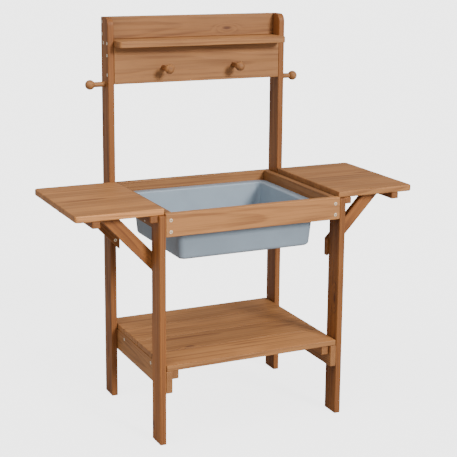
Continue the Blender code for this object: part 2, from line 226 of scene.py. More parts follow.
class StageSettings(bpy.types.PropertyGroup):
    """The floor, the two lamps, the even light and the camera."""

    floor: colour("Floor colour", "Colour of the floor", (0.42, 0.42, 0.42))
    glow: strength("Floor brightness", "Added brightness of the floor, which lights nothing", 3.1)
    backdrop: strength("Backdrop", "Brightness of what stands behind the floor", 3.7)
    key: strength("Key light", "Strength of the main lamp", 3.6)
    key_azimuth: angle("Key azimuth", "How far to the right of the front the main lamp stands", 18.0)
    key_height: angle("Key height", "How far above the horizon the main lamp stands", 23.0)
    key_softness: angle("Key softness", "How wide the main lamp looks from the bench", 15.0)
    top: strength("Top light", "Strength of the wide lamp overhead", 2.0)
    top_softness: angle("Top softness", "How wide the overhead lamp looks from the bench", 50.0)
    fill: strength("Fill light", "Strength of the even light from all round", 0.44)
    camera: bpy.props.FloatVectorProperty(
        name="Camera place",
        description="Where the camera stands",
        default=(-1.230, -2.647, 1.202),
        size=3,
        subtype="TRANSLATION",
        unit="LENGTH",
    )
    azimuth: angle("Azimuth", "Turn of the camera from straight ahead", -25.26)
    elevation: angle("Elevation", "Height of the camera's view above the horizon", 11.86)
    roll: angle("Roll", "Turn of the camera about its own line of sight", 0.47)
    lens: bpy.props.FloatProperty(
        name="Lens",
        description="Focal length in millimetres",
        default=92.56,
        min=10.0,
        subtype="DISTANCE_CAMERA",
        unit="CAMERA",
    )
    shift: bpy.props.FloatProperty(
        name="Shift", description="Vertical shift of the view, as a share of its width", default=-0.1007
    )


SETTINGS = {
    "bench_boards": BoardSettings,
    "bench_wood": WoodSettings,
    "bench_tub": TubSettings,
    "bench_fittings": FittingSettings,
    "bench_stage": StageSettings,
}


def settings(name):
    return getattr(bpy.context.scene, "bench_" + name)


# ---------------------------------------------------------------- shader nodes


def join(tree, value, socket):
    """Links an output to the socket, or sets the socket to a plain value."""
    if isinstance(value, bpy.types.NodeSocket):
        tree.links.new(value, socket)
    elif isinstance(value, (tuple, list)) and socket.type == "RGBA" and len(value) == 3:
        socket.default_value = (*value, 1.0)
    else:
        socket.default_value = value


def node(tree, kind, inputs=(), **options):
    """A new node with its options set and its inputs joined, by place or by name."""
    made = tree.nodes.new("ShaderNode" + kind)
    for option, value in options.items():
        setattr(made, option, value)
    pairs = inputs.items() if isinstance(inputs, dict) else enumerate(inputs)
    for key, value in pairs:
        if value is not None:
            join(tree, value, made.inputs[key])
    return made


def maths(tree, operation, *values):
    return node(tree, "Math", values, operation=operation).outputs[0]


def vector_maths(tree, operation, *values):
    return node(tree, "VectorMath", values, operation=operation).outputs[0]


def ramp(tree, value, low, high, to_low=0.0, to_high=1.0):
    """The value eased from one range to another, and held at its ends."""
    made = node(
        tree, "MapRange", (value, low, high, to_low, to_high), interpolation_type="SMOOTHSTEP"
    )
    return made.outputs[0]


def blend(tree, amount, first, second, mode="MIX"):
    made = node(tree, "Mix", data_type="RGBA", blend_type=mode, clamp_factor=True)
    join(tree, amount, made.inputs["Factor"])
    join(tree, first, made.inputs[6])
    join(tree, second, made.inputs[7])
    return made.outputs[2]


def stretched(tree, position, offset, scale):
    """The position moved by the offset, then scaled along each axis, for a pattern to read."""
    moved = vector_maths(tree, "ADD", position, offset)
    return vector_maths(tree, "MULTIPLY", moved, scale)


def speckle(tree, vector, scale, detail=2.0, roughness=0.5):
    values = {"Vector": vector, "Scale": scale, "Detail": detail, "Roughness": roughness}
    return node(tree, "TexNoise", values).outputs[0]


def new_group(name, inputs, outputs):
    """An empty node group with these sockets, and its input and output nodes."""
    tree = bpy.data.node_groups.new(name, "ShaderNodeTree")
    for label, kind, default in inputs:
        made = tree.interface.new_socket(label, in_out="INPUT", socket_type=kind)
        made.default_value = default
    for label, kind in outputs:
        tree.interface.new_socket(label, in_out="OUTPUT", socket_type=kind)
    start = tree.nodes.new("NodeGroupInput")
    end = tree.nodes.new("NodeGroupOutput")
    return tree, start.outputs, end.inputs


FLOAT, VECTOR = "NodeSocketFloat", "NodeSocketVector"


def growth_rings_group():
    """Growth rings round a pith beside the board, and the knots that push them aside."""
    tree, given, out = new_group(
        "bench_growth_rings",
        [
            ("Position", VECTOR, (0, 0, 0)),
            ("Pith", VECTOR, (0, 0, -0.05)),
            ("Spacing", FLOAT, 0.004),
            ("Waver", FLOAT, 0.006),
            ("Knots", FLOAT, 0.5),
            ("Spot", VECTOR, NO_SPOT),
        ],
        [("Late", FLOAT), ("Knot", FLOAT), ("Knot Rim", FLOAT)],
    )
    lean = node(tree, "SeparateXYZ", [given["Pith"]]).outputs
    place = node(tree, "SeparateXYZ", [given["Position"]]).outputs

    def from_pith(axis, drift):
        # The pith isn't quite parallel to the board, so the rings run out in long arches.
        straight = maths(tree, "SUBTRACT", place[axis], lean[axis])
        slope = maths(tree, "MULTIPLY", lean[0], drift)
        return maths(tree, "ADD", straight, maths(tree, "MULTIPLY", place[0], slope))

    across, through = from_pith(1, PITH_DRIFT[0]), from_pith(2, PITH_DRIFT[1])
    squares = [maths(tree, "MULTIPLY", side, side) for side in (across, through)]
    radius = maths(tree, "SQRT", maths(tree, "ADD", *squares))
    # The pith differs from strip to strip, so it also moves the patterns apart.
    shift = vector_maths(tree, "MULTIPLY", given["Pith"], (1.7, 13.0, 11.0))
    bend = speckle(tree, stretched(tree, given["Position"], shift, WAVES), 1.0, 2.0)
    bend = maths(tree, "MULTIPLY", maths(tree, "SUBTRACT", bend, 0.5), given["Waver"])
    radius = maths(tree, "ADD", radius, bend)
    # A cell of this pattern may hold one knot, an oval along the grain.
    cells = stretched(tree, given["Position"], shift, (*KNOT_CELLS, 1.2))
    voronoi = node(tree, "TexVoronoi", {"Vector": cells, "Scale": 1.0}, voronoi_dimensions="2D")
    chance = node(tree, "SeparateColor", [voronoi.outputs["Color"]]).outputs[0]
    present = ramp(tree, chance, maths(tree, "SUBTRACT", 1.0, given["Knots"]), 1.0, 0.0, 1.0)
    present = ramp(tree, present, 0.0, 0.1)
    gap = voronoi.outputs["Distance"]
    # One more knot may stand at a chosen spot.
    aside = vector_maths(tree, "SUBTRACT", given["Position"], given["Spot"])
    aside = vector_maths(tree, "MULTIPLY", aside, (*KNOT_CELLS, 0.0))
    near = node(tree, "VectorMath", (aside,), operation="LENGTH").outputs["Value"]

    def knot(low, high):
        chance_knot = maths(tree, "MULTIPLY", ramp(tree, gap, low, high, 1.0, 0.0), present)
        return maths(tree, "MAXIMUM", chance_knot, ramp(tree, near, low, high, 1.0, 0.0))

    core, rim, halo = knot(*KNOT_CORE), knot(*KNOT_RIM), knot(*KNOT_REACH)
    radius = maths(tree, "ADD", radius, maths(tree, "MULTIPLY", halo, KNOT_PUSH))
    # Each ring darkens slowly outward and ends sharply.
    turn = maths(tree, "FRACT", maths(tree, "DIVIDE", radius, given["Spacing"]))
    late = maths(tree, "MULTIPLY", ramp(tree, turn, 0.15, 0.86), ramp(tree, turn, 0.88, 1.0, 1.0, 0.0))
    join(tree, late, out["Late"])
    join(tree, core, out["Knot"])
    join(tree, maths(tree, "SUBTRACT", rim, core), out["Knot Rim"])
    return tree


def fibres_group():
    """Fine fibres and broader streaks along the grain."""
    tree, given, out = new_group(
        "bench_fibres",
        [("Position", VECTOR, (0, 0, 0)), ("Offset", VECTOR, (0, 0, 0))],
        [("Streak", FLOAT), ("Fine", FLOAT), ("Cloud", FLOAT)],
    )
    moved = [given["Position"], vector_maths(tree, "MULTIPLY", given["Offset"], (5.0, 23.0, 19.0))]
    patterns = (("Streak", STREAKS, 4.0, 0.62), ("Fine", FIBRES, 2.0, 0.6), ("Cloud", CLOUDS, 2.0, 0.5))
    for label, scale, detail, roughness in patterns:
        pattern = speckle(tree, stretched(tree, *moved, scale), 1.0, detail, roughness)
        join(tree, pattern, out[label])
    return tree


def edge_wear_group():
    """Where an edge, marked 1, has lost some of its finish: patches along it and not an even line."""
    tree, given, out = new_group(
        "bench_edge_wear",
        [
            ("Edge", FLOAT, 0.0),
            ("Position", VECTOR, (0, 0, 0)),
            ("Scale", FLOAT, 60.0),
            ("Amount", FLOAT, 0.5),
        ],
        [("Wear", FLOAT)],
    )
    patches = speckle(tree, given["Position"], given["Scale"], 4.0, 0.65)
    level = maths(tree, "SUBTRACT", 0.78, maths(tree, "MULTIPLY", given["Amount"], 0.42))
    broken = ramp(tree, patches, level, maths(tree, "ADD", level, 0.16))
    edge = ramp(tree, given["Edge"], 0.25, 0.95)
    join(tree, maths(tree, "MULTIPLY", edge, broken), out["Wear"])
    return tree


def groups():
    """The shared node groups, made once."""
    makers = {
        "bench_growth_rings": growth_rings_group,
        "bench_fibres": fibres_group,
        "bench_edge_wear": edge_wear_group,
    }
    for name, maker in makers.items():
        if name not in bpy.data.node_groups:
            maker()
    return bpy.data.node_groups


def use_group(tree, name, inputs):
    """A shared group placed in a material with its own values, as its outputs."""
    made = tree.nodes.new("ShaderNodeGroup")
    made.node_tree = groups()[name]
    for key, value in inputs.items():
        join(tree, value, made.inputs[key])
    return made.outputs


def attribute(tree, name, output):
    return node(tree, "Attribute", attribute_name=name).outputs[output]


def edge_wear(tree, place, scale, amount):
    """The shared edge wear, on the edges that the mesh marks."""
    edge = attribute(tree, "edge", "Fac")
    inputs = {"Edge": edge, "Position": place, "Scale": scale, "Amount": amount}
    return use_group(tree, "bench_edge_wear", inputs)["Wear"]


def add_bump(tree, shader, height, strength, distance):
    bump = node(tree, "Bump", {"Height": height, "Strength": strength, "Distance": distance})
    join(tree, bump.outputs["Normal"], shader.inputs["Normal"])


def new_material(name):
    material = bpy.data.materials.new(name)
    material.use_nodes = True
    return material, material.node_tree, material.node_tree.nodes["Principled BSDF"]


def wood_material(
    name,
    tint=(1, 1, 1),
    knots=0.5,
    waver=0.006,
    wear=0.3,
    spacing=1.0,
    contrast=0.7,
    spot=NO_SPOT,
):
    """Stained softwood.

    The tint multiplies the whole board's colour. Knots and wear go from 0 to 1, waver is how far the
    rings stray in metres, spacing multiplies their thickness and contrast their darkness.
    """
    if name in bpy.data.materials:
        return bpy.data.materials[name]
    look = settings("wood")
    material, tree, shader = new_material(name)
    place = node(tree, "TexCoord").outputs["Object"]
    pith = attribute(tree, "pith", "Vector")
    rings = use_group(
        tree,
        "bench_growth_rings",
        {
            "Position": place,
            "Pith": pith,
            "Spacing": look.ring_spacing * spacing,
            "Waver": waver,
            "Knots": knots,
            "Spot": spot,
        },
    )
    fibres = use_group(tree, "bench_fibres", {"Position": place, "Offset": pith})
    worn = edge_wear(tree, place, 70.0, wear)
    streak = ramp(tree, fibres["Streak"], 0.30, 0.72)
    dark = maths(tree, "MULTIPLY", rings["Late"], contrast)
    streaky = maths(tree, "MULTIPLY", maths(tree, "SUBTRACT", streak, 0.5), 0.9)
    dark = maths(tree, "ADD", dark, streaky)
    colour = blend(tree, dark, tuple(look.early), tuple(look.late))
    pale = tuple(min(1.0, channel * 1.35) for channel in look.early)
    colour = blend(tree, ramp(tree, fibres["Cloud"], 0.48, 0.78, 0.0, 0.45), colour, pale)
    colour = blend(tree, ramp(tree, fibres["Fine"], 0.50, 0.85, 0.0, 0.35), colour, tuple(look.late))
    colour = blend(tree, maths(tree, "MULTIPLY", rings["Knot Rim"], 0.5), colour, tuple(look.knot))
    colour = blend(tree, maths(tree, "MULTIPLY", rings["Knot"], 0.85), colour, tuple(look.knot))
    level = attribute(tree, "tone", "Fac")
    toned = node(tree, "CombineColor", [maths(tree, "MULTIPLY", level, part) for part in tint])
    colour = blend(tree, 1.0, colour, toned.outputs[0], "MULTIPLY")
    end = attribute(tree, "end_grain", "Fac")
    colour = blend(tree, maths(tree, "MULTIPLY", end, 0.35), colour, tuple(look.late))
    colour = blend(tree, maths(tree, "MULTIPLY", worn, 0.55), colour, tuple(look.worn))
    join(tree, colour, shader.inputs["Base Color"])
    rough = maths(tree, "ADD", 0.50, maths(tree, "MULTIPLY", streak, 0.12))
    rough = maths(tree, "ADD", rough, maths(tree, "MULTIPLY", fibres["Fine"], 0.10))
    join(tree, maths(tree, "ADD", rough, maths(tree, "MULTIPLY", worn, 0.12)), shader.inputs["Roughness"])
    height = maths(tree, "MULTIPLY", fibres["Fine"], 0.5)
    height = maths(tree, "ADD", height, maths(tree, "MULTIPLY", rings["Late"], 0.5))
    height = maths(tree, "SUBTRACT", height, maths(tree, "MULTIPLY", rings["Knot Rim"], 0.6))
    add_bump(tree, shader, height, 0.35, 0.0006)
    shader.inputs["Specular IOR Level"].default_value = 0.42
    return material


def tub_material():
    """Satin moulded plastic with a fine orange-peel surface and a few dull rubbed patches."""
    name = "tub_moulded_plastic"
    if name in bpy.data.materials:
        return bpy.data.materials[name]
    plastic = tuple(settings("tub").plastic)
    material, tree, shader = new_material(name)
    place = node(tree, "TexCoord").outputs["Object"]
    cloud = speckle(tree, place, 9.0, 3.0, 0.55)
    grain = speckle(tree, place, 850.0, 1.0)
    rubbed = speckle(tree, vector_maths(tree, "MULTIPLY", place, (14.0, 60.0, 60.0)), 1.0, 5.0, 0.7)
    rubbed = ramp(tree, rubbed, 0.60, 0.74)
    worn = edge_wear(tree, place, 45.0, 0.8)
    darker = tuple(channel * 0.90 for channel in plastic)
    lighter = tuple(channel * 1.22 for channel in plastic)
    shade = blend(tree, ramp(tree, cloud, 0.35, 0.65), darker, plastic)
    shade = blend(tree, ramp(tree, grain, 0.55, 0.80, 0.0, 0.25), shade, lighter)
    shade = blend(tree, maths(tree, "MULTIPLY", worn, 0.6), shade, lighter)
    join(tree, shade, shader.inputs["Base Color"])
    rough = maths(tree, "ADD", 0.36, maths(tree, "MULTIPLY", rubbed, 0.12))
    join(tree, maths(tree, "ADD", rough, maths(tree, "MULTIPLY", cloud, 0.08)), shader.inputs["Roughness"])
    add_bump(tree, shader, grain, 0.12, 0.0003)
    return material


def screw_material():
    """Zinc plating, a little dull and scratched round the recess."""
    name = "screw_zinc_plate"
    if name in bpy.data.materials:
        return bpy.data.materials[name]
    zinc = tuple(settings("fittings").zinc)
    material, tree, shader = new_material(name)
    place = node(tree, "TexCoord").outputs["Object"]
    cloud = speckle(tree, place, 700.0, 3.0, 0.6)
    worn = edge_wear(tree, place, 900.0, 0.7)
    dull = tuple(channel * 0.62 for channel in zinc)
    shade = blend(tree, ramp(tree, cloud, 0.35, 0.70), zinc, dull)
    shade = blend(tree, maths(tree, "MULTIPLY", worn, 0.6), shade, BARE_STEEL)
    join(tree, shade, shader.inputs["Base Color"])
    join(tree, ramp(tree, cloud, 0.3, 0.8, 0.34, 0.52), shader.inputs["Roughness"])
    join(tree, ramp(tree, cloud, 0.2, 0.8, 0.80, 0.60), shader.inputs["Metallic"])
    add_bump(tree, shader, cloud, 0.15, 0.0001)
    return material


def floor_material():
    """A plain pale floor. Its glow shows to the camera only and lights nothing."""
    look = settings("stage")
    material, tree, shader = new_material("floor_pale")
    shader.inputs["Base Color"].default_value = (*look.floor, 1.0)
    shader.inputs["Roughness"].default_value = 0.9
    glow = node(tree, "Emission", {"Color": (1.0, 1.0, 1.0), "Strength": look.glow}).outputs[0]
    bright = node(tree, "AddShader", (shader.outputs[0], glow)).outputs[0]
    seen = node(tree, "LightPath").outputs["Is Camera Ray"]
    mixed = node(tree, "MixShader", (seen, shader.outputs[0], bright)).outputs[0]
    join(tree, mixed, tree.nodes["Material Output"].inputs["Surface"])
    return material


# ---------------------------------------------------------------- meshes


def finished(name, mesh, place, material, body, nodes):
    """The mesh as a piece that rides on its body and stands for these CAD nodes."""
    piece = bpy.data.objects.new(name, mesh)
    bpy.context.scene.collection.objects.link(piece)
    piece.matrix_world = place
    mesh.materials.clear()
    mesh.materials.append(material)
    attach(piece, body)
    if nodes:
        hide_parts(*nodes)
    return piece


def rounded(corners, steps=6):
    """A closed outline whose corners, given as (x, y, radius), are rounded by arcs."""
    points = []
    for i, (x, y, radius) in enumerate(corners):
        corner = Vector((x, y))
        before = (Vector(corners[i - 1][:2]) - corner).normalized()
        after = (Vector(corners[(i + 1) % len(corners)][:2]) - corner).normalized()
        half = before.angle(after) / 2
        centre = corner + (before + after).normalized() * radius / math.sin(half)
        first = corner + before * radius / math.tan(half) - centre
        turn = math.pi - 2 * half
        if first.cross(corner + after * radius / math.tan(half) - centre) < 0:
            turn = -turn
        for step in range(steps + 1):
            angle = turn * step / steps
            spun = Matrix.Rotation(angle, 2) @ first
            points.append(centre + spun)
    return points


def stepped(outline, step, seams=()):
    """The outline with points added, none further than step from the next, and one at each seam."""
    points = []
    for i, start in enumerate(outline):
        end = outline[(i + 1) % len(outline)]
        length = (end - start).length
        if length < NOTHING:
            continue
        count = math.ceil(length / step)
        shares = {round(k / count, 6) for k in range(count)}
        for seam in seams:
            if (start.y - seam) * (end.y - seam) < 0:
                crossing = (seam - start.y) / (end.y - start.y)
                near = {s for s in shares if 0 < s and abs(s - crossing) * length < step * 0.35}
                shares = (shares - near) | {crossing}
        points += [start.lerp(end, share) for share in sorted(shares)]
    return points


def outward_normals(points):
    """The way out at each point of a counter-clockwise outline, longer at corners to keep insets even."""
    normals = []
    for i, point in enumerate(points):
        back = (point - points[i - 1]).normalized()
        ahead = (points[(i + 1) % len(points)] - point).normalized()
        out = Vector((back.y + ahead.y, -back.x - ahead.x))
        out.normalize()
        normals.append(out / max(0.5, out.dot(Vector((ahead.y, -ahead.x)))))
    return normals


def counter_clockwise(points):
    area = sum(a.x * b.y - b.x * a.y for a, b in zip(points, points[1:] + points[:1]))
    return points if area > 0 else points[::-1]


def board_mesh(name, outline, thickness, seed, strips, edge_radius, tone, long_edge_painted_light):
    """A board cut to the outline, its edges rounded a little unevenly, with its wood's marks."""
    look = settings("boards")
    rng = random.Random(seed)
    points = stepped(counter_clockwise(outline), look.step, strips)
    normals = outward_normals(points)
    bm = bmesh.new()
    edge_mark = bm.verts.layers.float.new("edge")
    half = thickness / 2
    rings = []
    radii = []
    for level in (-1, 1):
        # Each face's edge takes its unevenness from a place of its own in the noise.
        offset = Vector((rng.uniform(0, 50), rng.uniform(0, 50), level * 7.0))
        ripples = [noise.noise(Vector((p.x, p.y, 0)) * RIPPLES + offset) for p in points]
        radii.append([edge_radius * (1 + look.unevenness * ripple) for ripple in ripples])
    for level, sizes in zip((-1, 1), radii):
        turns = range(EDGE_SEGMENTS + 1)
        for turn in turns if level < 0 else reversed(turns):
            angle = QUARTER * (1 - turn / EDGE_SEGMENTS)
            # The mark is highest half way round the edge.
            mark = math.sin(2 * angle)
            ring = []
            for point, normal, radius in zip(points, normals, sizes):
                flat = point - normal * radius * (1 - math.cos(angle))
                height = level * (half - radius * (1 - math.sin(angle)))
                vert = bm.verts.new((flat.x, flat.y, height))
                vert[edge_mark] = mark
                ring.append(vert)
            rings.append(ring)
    skin(bm, rings)
    bm.faces.new(rings[0][::-1])
    bm.faces.new(rings[-1])
    for ring in (rings[0], rings[-1]):
        for seam in strips:
            ends = [v for v, p in zip(ring, points) if abs(p.y - seam) < NOTHING]
            if len(ends) == 2:
                shared = set(ends[0].link_faces) & set(ends[1].link_faces)
                bmesh.utils.face_split(shared.pop(), *ends)
    mark_faces(bm, strips, seed, tone, long_edge_painted_light)
    return to_mesh(bm, name)


def mark_faces(bm, strips, seed, tone, long_edge_painted_light=1.0):
    """Gives each strip of a board a pith and a tone of its own, and marks the end grain.

    The long edges' tone is also multiplied by a factor of painted light and shade for those faces.
    """
    rng = random.Random(seed * 7 + 3)
    piths, tones = [], []
    for _ in range(len(strips) + 1):
        sign = rng.choice((-1, 1))
        drift, across = rng.uniform(-1, 1), rng.uniform(-PITH_ACROSS, PITH_ACROSS)
        piths.append((drift, across, sign * rng.uniform(*PITH_DEPTH)))
        tones.append(tone * rng.uniform(1 - TONE_SPREAD, 1 + TONE_SPREAD))
    pith_mark = bm.faces.layers.float_vector.new("pith")
    tone_mark = bm.faces.layers.float.new("tone")
    end_mark = bm.faces.layers.float.new("end_grain")
    bm.normal_update()
    for face in bm.faces:
        y = face.calc_center_median().y
        strip = sum(y > seam for seam in sorted(strips))
        face[pith_mark] = piths[strip]
        # The long edges take their painted light and shade on top of the strip's tone.
        face[tone_mark] = tones[strip] * (long_edge_painted_light if abs(face.normal.y) > LONG_EDGE else 1.0)
        face[end_mark] = 1.0 if abs(face.normal.x) > END_FACE else 0.0


def frame_of(origin, grain, through):
    """A board's own frame: x along the grain and z through the thickness."""
    grain, through = grain.normalized(), through.normalized()
    across = through.cross(grain)
    matrix = Matrix((grain, across, through)).transposed().to_4x4()
    matrix.translation = origin
    return matrix


def skin(bm, rings):
    """Faces between each ring and the next, all of one number of points."""
    for first, second in zip(rings, rings[1:]):
        for k in range(len(first)):
            after = (k + 1) % len(first)
            bm.faces.new((first[k], first[after], second[after], second[k]))


def turned_shape(profile, around):
    """A closed shape turned about its own x axis from (x, radius, edge mark) points.

    The first and the last point lie on the axis and close it.
    """
    bm = bmesh.new()
    marks = bm.verts.layers.float.new("edge")
    rings = []
    for x, radius, mark in profile[1:-1]:
        ring = []
        for k in range(around):
            angle = 2 * math.pi * k / around
            vert = bm.verts.new((x, radius * math.cos(angle), radius * math.sin(angle)))
            vert[marks] = mark
            ring.append(vert)
        rings.append(ring)
    skin(bm, rings)
    for ring, (x, _, _) in ((rings[0], profile[0]), (rings[-1], profile[-1])):
        tip = bm.verts.new((x, 0, 0))
        for k in range(around):
            bm.faces.new((tip, ring[k], ring[(k + 1) % around]))
    return bm


def to_mesh(bm, name):
    """The bmesh as a smooth-shaded mesh whose faces look outward."""
    bmesh.ops.recalc_face_normals(bm, faces=bm.faces)
    mesh = bpy.data.meshes.new(name)
    bm.to_mesh(mesh)
    bm.free()
    mesh.shade_smooth()
    mesh.set_sharp_from_angle(angle=SHARP_ANGLE)
    return mesh


# ---------------------------------------------------------------- pieces


def strips_of(outline, width):
    """The seams of a board glued up from strips of about this width."""
    low, high = min(y for _, y, _ in outline), max(y for _, y, _ in outline)
    count = max(1, round((high - low) / width))
    return [low + (high - low) * k / count for k in range(1, count)]


def make_board(
    name, corners, wood, slot, grain, through, seed, strip=None, edge=None, tone=1.0, long_edge_painted_light=1.0
):
    """A board cut to corners, given in the bench's frame as (point, radius), as thick as the CAD node."""
    edge = edge or settings("boards").edge_radius
    low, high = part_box(name)
    place = frame_of((low + high) / 2, grain, through)
    outline = []
    for point, radius in corners:
        x, y, _ = place.inverted() @ Vector(point)
        outline.append((x, y, radius))
    seams = strips_of(outline, strip) if strip else []
    thickness = abs((high - low).dot(through))
    mesh = board_mesh(name, rounded(outline), thickness, seed, seams, edge, tone, long_edge_painted_light)
    piece = finished(name + "_board", mesh, place, wood, FRAME_BODY, [name])
    flat = piece.modifiers.new("flat_faces", "WEIGHTED_NORMAL")
    flat.keep_sharp = True


def straight_board(name, wood, slot, grain, through, seed, **options):
    """A board that fills the box of the CAD node."""
    low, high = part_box(name)
    middle, radius = (low + high) / 2, settings("boards").corner
    across = through.cross(grain)
    along = grain * abs((high - low).dot(grain)) / 2
    side = across * abs((high - low).dot(across)) / 2
    corners = [(middle + a * along + b * side, radius) for a, b in ((-1, -1), (1, -1), (1, 1), (-1, 1))]
    make_board(name, corners, wood, slot, grain, through, seed, **options)


def tub_section(low, high, look):
    """The tub's section from the floor's edge, up the inside, over the rim and down the outside.

    Each point is (height, inset from the rim's outer edge, edge mark).
    """
    top, floor = high.z, low.z + look.wall
    turn, foot_z = top - look.cove, floor + look.foot
    foot_inset = look.rim + (turn - foot_z) * math.tan(look.taper)
    quarter = [QUARTER * step / 6 for step in range(7)]

    def foot(radius, angle):
        inset = foot_inset + look.foot - radius * math.cos(angle)
        return foot_z - radius * math.sin(angle), inset, 0.4 * math.sin(2 * angle)

    def roll(radius, angle):
        inset = look.rim - look.cove + radius * math.sin(angle)
        return turn + radius * math.cos(angle), inset, 0.5 * math.sin(2 * angle)

    inside = [foot(look.foot, angle) for angle in reversed(quarter)]
    inside += [roll(look.cove, angle) for angle in reversed(quarter)]
    edge = [(top - depth, inset, mark) for depth, inset, mark in RIM_EDGE]
    edge += [
        (top - look.lip + LIP_ROUND, 0.0, 0.5),
        (top - look.lip, LIP_ROUND, 0.8),
        (top - look.lip, look.wall, 0.5),
        (top - look.wall - INNER_ROUND, look.wall, 0.0),
        (top - look.wall, look.wall + INNER_ROUND, 0.0),
    ]
    outside = [roll(look.cove - look.wall, angle) for angle in quarter]
    outside += [foot(look.foot + look.wall, angle) for angle in quarter]
    return inside + edge + outside


def tub_mesh(low, high, look):
    """The tub as one closed skin: the section carried round a rectangle with rounded corners."""
    bm = bmesh.new()
    marks = bm.verts.layers.float.new("edge")
    half = (high - low) / 2
    rings = []
    for height, inset, mark in tub_section(low, high, look):
        x, y = half.x - inset, half.y - inset
        radius = max(look.corner - inset * CORNER_TAPER, TIGHTEST_CORNER)
        corners = [(-x, -y, radius), (x, -y, radius), (x, y, radius), (-x, y, radius)]
        ring = []
        for point in rounded(corners, steps=9):
            vert = bm.verts.new((point.x, point.y, height))
            vert[marks] = mark
            ring.append(vert)
        rings.append(ring)
    skin(bm, rings)
    bm.faces.new(rings[0])
    bm.faces.new(rings[-1])
    return to_mesh(bm, "tub")


def peg_mesh(name, look):
    """A turned peg along its own x axis: ball with a small flat, neck, flared shank and tenon."""
    # The ball runs from the edge of the flat at its tip back to the neck.
    flat, back = math.radians(24), math.radians(148)
    ball_steps, neck_steps = 18, 8
    profile = []
    for step in range(ball_steps + 1):
        angle = flat + (back - flat) * step / ball_steps
        mark = 1.0 if step == 0 else 0.15
        profile.append((look.reach + look.ball * math.cos(angle), look.ball * math.sin(angle), mark))
    profile.insert(0, (profile[0][0] + 0.0002, 0.0, 0.0))
    neck_x = profile[-1][0]
    for step in range(neck_steps + 1):
        along = step / neck_steps
        flare = (look.shank - look.neck) * along**2
        profile.append((neck_x * (1 - along) * 0.97 + PEG_SEAT, look.neck + flare, 0.0))
    chamfer_x = TENON_CHAMFER - TENON_LENGTH
    profile += [(x, look.tenon, 0.0) for x in (PEG_SEAT, chamfer_x)]
    profile.append((-TENON_LENGTH, 0.0, 0.0))
    bm = turned_shape(profile, around=40)
    tone = random.Random(name).uniform(0.94, 1.04)
    mark_faces(bm, (), sum(map(ord, name)), tone)
    return to_mesh(bm, name)


def recess_depth(x, y, look):
    """How far a point of the head's face lies below it, in a cross whose arms narrow at their ends."""
    along, aside = max(abs(x), abs(y)), min(abs(x), abs(y))
    half_width = RECESS_HALF_WIDTH * (1.0 - 0.35 * along / look.recess)
    side = min(1.0, max(0.0, (half_width - aside) / RECESS_SOFTNESS + 0.5))
    end = min(1.0, max(0.0, (look.recess - along) / (2 * RECESS_SOFTNESS)))
    return look.recess_depth * side * end * (1.0 - 0.5 * along / look.recess)


def screw_mesh(name, look, length, turn):
    """A countersunk screw with a low dome and a cross recess. Its face looks along its own z axis."""
    bm = bmesh.new()
    marks = bm.verts.layers.float.new("edge")
    middle = bm.verts.new((0, 0, -look.recess_depth))
    rings, around, across = [], 48, 12
    for step in range(1, across + 1):
        radius = look.head * 0.95 * step / across
        ring = []
        for k in range(around):
            angle = 2 * math.pi * k / around
            x, y = radius * math.cos(angle), radius * math.sin(angle)
            dome = SCREW_PROUD * (1.0 - (radius / look.head) ** 2)
            depth = recess_depth(x, y, look)
            vert = bm.verts.new((x, y, dome - depth))
            vert[marks] = 0.9 if 0.1 < depth / look.recess_depth < 0.6 else 0.2
            ring.append(vert)
        rings.append(ring)
    # The head's rim, the cone under it, the shank and the tip, as (radius, height, edge mark).
    below = [
        (look.head, -0.00015, 1.0),
        (look.head, -0.0005, 0.5),
        (SCREW_SHANK, -0.0030, 0.0),
        (SCREW_SHANK, -length + 0.004, 0.0),
        (0.0002, -length, 0.0),
    ]
    for radius, z, mark in below:
        ring = []
        for k in range(around):
            angle = 2 * math.pi * k / around
            vert = bm.verts.new((radius * math.cos(angle), radius * math.sin(angle), z))
            vert[marks] = mark
            ring.append(vert)
        rings.append(ring)
    skin(bm, rings)
    for k in range(around):
        bm.faces.new((middle, rings[0][k], rings[0][(k + 1) % around]))
    bm.faces.new(rings[-1])
    bm.transform(Matrix.Rotation(turn, 4, "Z"))
    return to_mesh(bm, name)


# ---------------------------------------------------------------- operators


class BENCH_OT_legs(bpy.types.Operator):
    """Make the two front legs and the two rear posts"""

    bl_idname = "bench.legs"
    bl_label = "Legs and posts"

    def execute(self, context):
        look = settings("boards")
        wood = wood_material("leg_wood", settings("wood").frame_tint, knots=0.45)
        for k, (side, sign) in enumerate(SIDES):
            name = f"front_{side}_leg"
            # Each leg's entry holds its tone and painted light: the left leg's side is painted lighter
            # than its front.
            straight_board(name, wood, FRAME_SLOT, Z, X * sign, seed=11 + k, **LEG_TONE_AND_PAINTED_LIGHT[name])
            name = f"rear_{side}_post"
            low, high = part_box(name)
            corners = [
                ((0, low.y, low.z), look.corner),
                ((0, high.y, low.z), look.corner),
                ((0, high.y, high.z), PLAIN_CORNER),
                ((0, low.y, high.z), look.post_corner),
            ]
            # The post's tone, with painted shade: the left post's side is painted darker than its front.
            stain = LEG_TONE_AND_PAINTED_LIGHT[name]
            make_board(name, corners, wood, FRAME_SLOT, Z, X * sign, seed=21 + k, **stain)
        return {"FINISHED"}


class BENCH_OT_tub_frame(bpy.types.Operator):
    """Make the four rails round the tub and the cleats it rests on"""

    bl_idname = "bench.tub_frame"
    bl_label = "Tub frame"

    def execute(self, context):
        wood = wood_material("rail_wood", knots=0.2, contrast=0.5)
        cleat = wood_material("cleat_wood", settings("wood").frame_tint, knots=0.3)
        straight_board("front_rail", wood, FRAME_SLOT, X, -Y, seed=31, tone=1.27)
        straight_board("rear_rail", wood, FRAME_SLOT, X, -Y, seed=33, tone=0.88)
        for k, (side, sign) in enumerate(SIDES):
            through = X * sign
            straight_board(f"{side}_side_rail", wood, FRAME_SLOT, Y, through, seed=35 + k, tone=0.74)
            straight_board(f"{side}_tub_cleat", cleat, FRAME_SLOT, Y, through, seed=38 + k)
        return {"FINISHED"}


